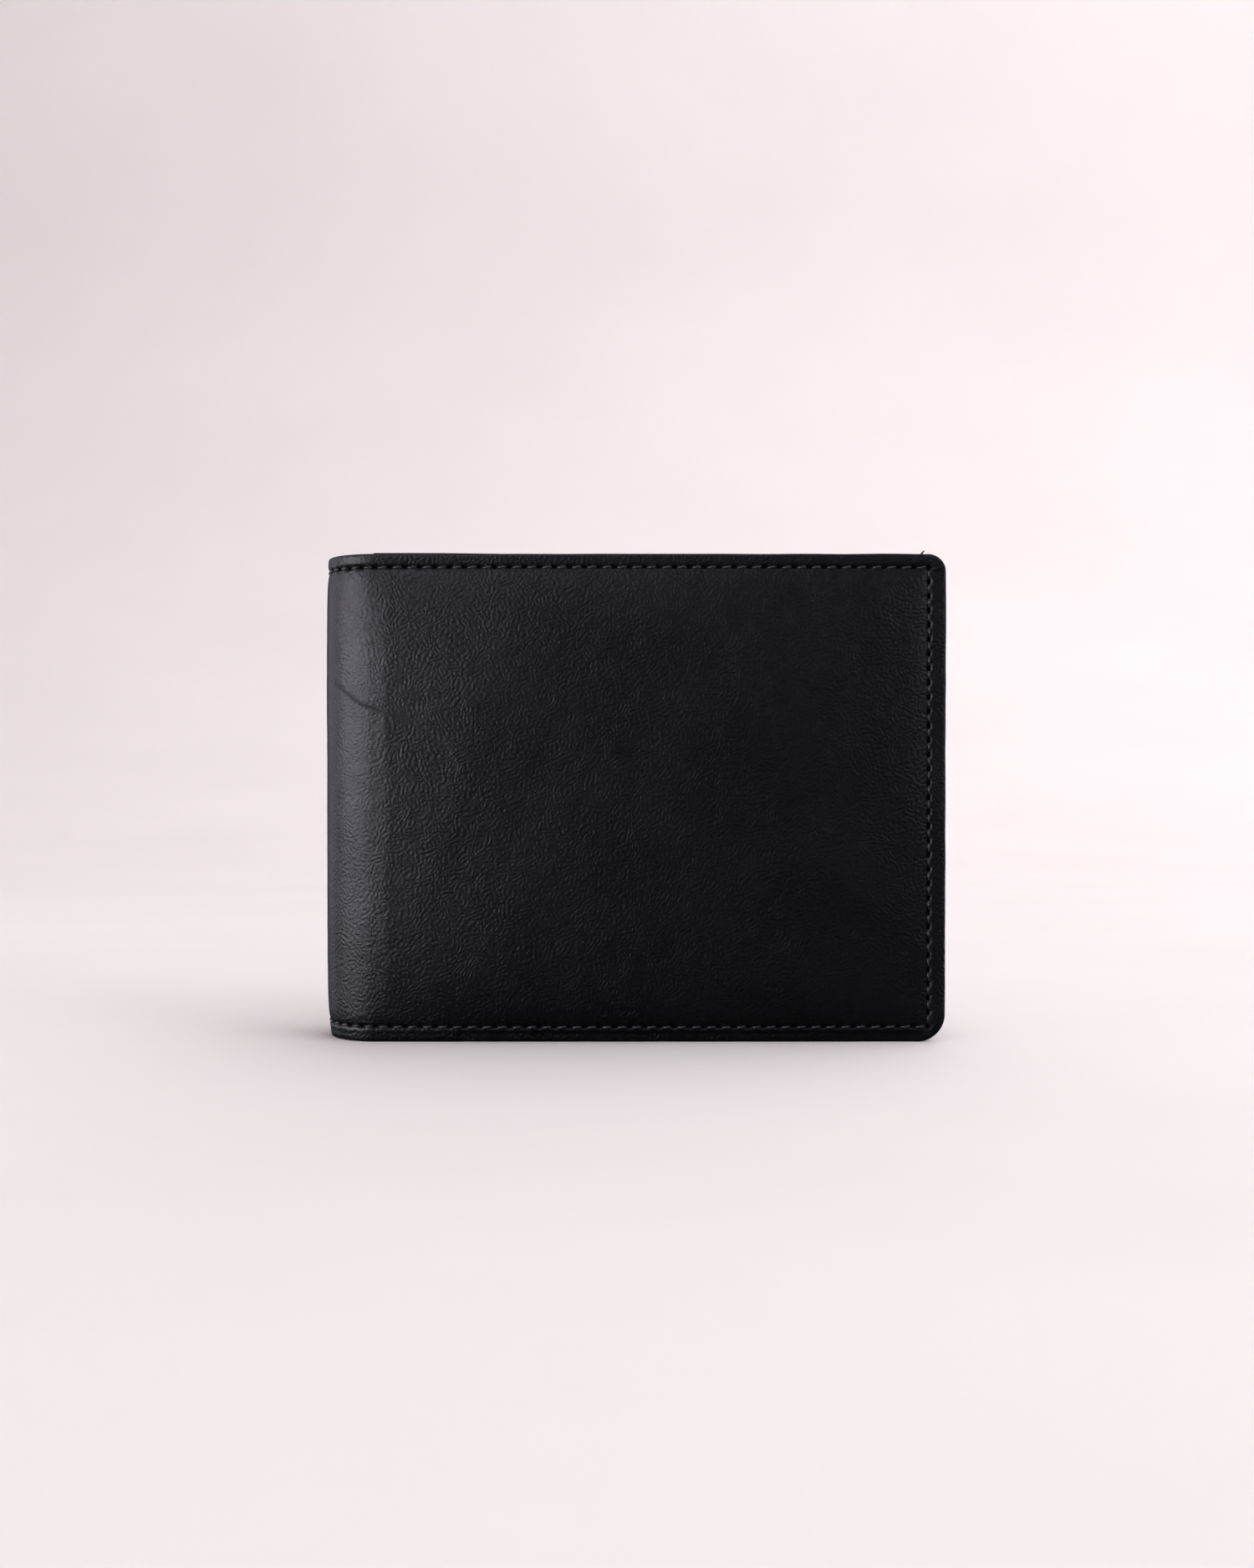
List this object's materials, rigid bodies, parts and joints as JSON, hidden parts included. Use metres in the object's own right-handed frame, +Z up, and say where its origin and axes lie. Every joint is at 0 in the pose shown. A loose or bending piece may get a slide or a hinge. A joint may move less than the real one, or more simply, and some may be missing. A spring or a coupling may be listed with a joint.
{
  "type": "bifold wallet",
  "caption": "Slim leather bifold wallet, folded shut: turned and stitched cover, bill compartment, slip pockets and stepped card slots; it opens flat about its spine.",
  "frame": {"origin": "on the surface that the closed wallet stands on, under the middle of its box", "axes": "+X from the spine to the free edges, +Y from the front half to the rear half, +Z up, from the long edge it stands on to the open edge of the bill compartment"},
  "size_m": [0.112, 0.02, 0.087],
  "materials": {
    "cover_leather": "black full-grain leather, fine pebble grain, semi-gloss",
    "inner_leather": "black leather, finer and flatter grain, satin",
    "lining": "black twill lining cloth, matte",
    "stiffener": "brown bonded-leather board, matte"
  },
  "bodies": {
    "rear_half": {"rear_cover": "cover_leather", "rear_stiffener": "stiffener", "rear_cover_lining": "lining", "rear_inner_lining": "lining", "rear_inner_facing": "inner_leather", "rear_slip_panel": "lining", "rear_card_slot_1": "inner_leather", "rear_card_slot_2": "inner_leather", "rear_card_slot_3": "inner_leather", "rear_card_slot_4": "inner_leather"},
    "spine_rear": {"spine_rear_cover": "cover_leather", "spine_rear_cover_lining": "lining", "spine_rear_inner_lining": "lining", "spine_rear_inner_facing": "inner_leather"},
    "spine_middle": {"spine_middle_cover": "cover_leather", "spine_middle_cover_lining": "lining", "spine_middle_inner_lining": "lining", "spine_middle_inner_facing": "inner_leather"},
    "spine_front": {"spine_front_cover": "cover_leather", "spine_front_cover_lining": "lining", "spine_front_inner_lining": "lining", "spine_front_inner_facing": "inner_leather"},
    "front_half": {"front_cover": "cover_leather", "front_stiffener": "stiffener", "front_cover_lining": "lining", "front_inner_lining": "lining", "front_inner_facing": "inner_leather", "front_slip_panel": "lining", "front_card_slot_1": "inner_leather", "front_card_slot_2": "inner_leather", "front_card_slot_3": "inner_leather", "front_card_slot_4": "inner_leather"}
  },
  "joints": [
    {"name": "fold_1", "type": "hinge", "parent": "rear_half", "child": "spine_rear", "pos_m": [-0.04987, 0.00935, 0.0435], "axis": [0, 0, -1], "range_deg": [0, 45]},
    {"name": "fold_2", "type": "hinge", "parent": "spine_rear", "child": "spine_middle", "pos_m": [-0.05535, 0.00387, 0.0435], "axis": [0, 0, -1], "range_deg": [0, 45]},
    {"name": "fold_3", "type": "hinge", "parent": "spine_middle", "child": "spine_front", "pos_m": [-0.05535, -0.00387, 0.0435], "axis": [0, 0, -1], "range_deg": [0, 45]},
    {"name": "fold_4", "type": "hinge", "parent": "spine_front", "child": "front_half", "pos_m": [-0.04987, -0.00935, 0.0435], "axis": [0, 0, -1], "range_deg": [0, 45]}
  ],
  "couplings": [
    {"joint": "fold_2", "follows": "fold_1", "ratio": 1},
    {"joint": "fold_3", "follows": "fold_1", "ratio": 1},
    {"joint": "fold_4", "follows": "fold_1", "ratio": 1}
  ]
}
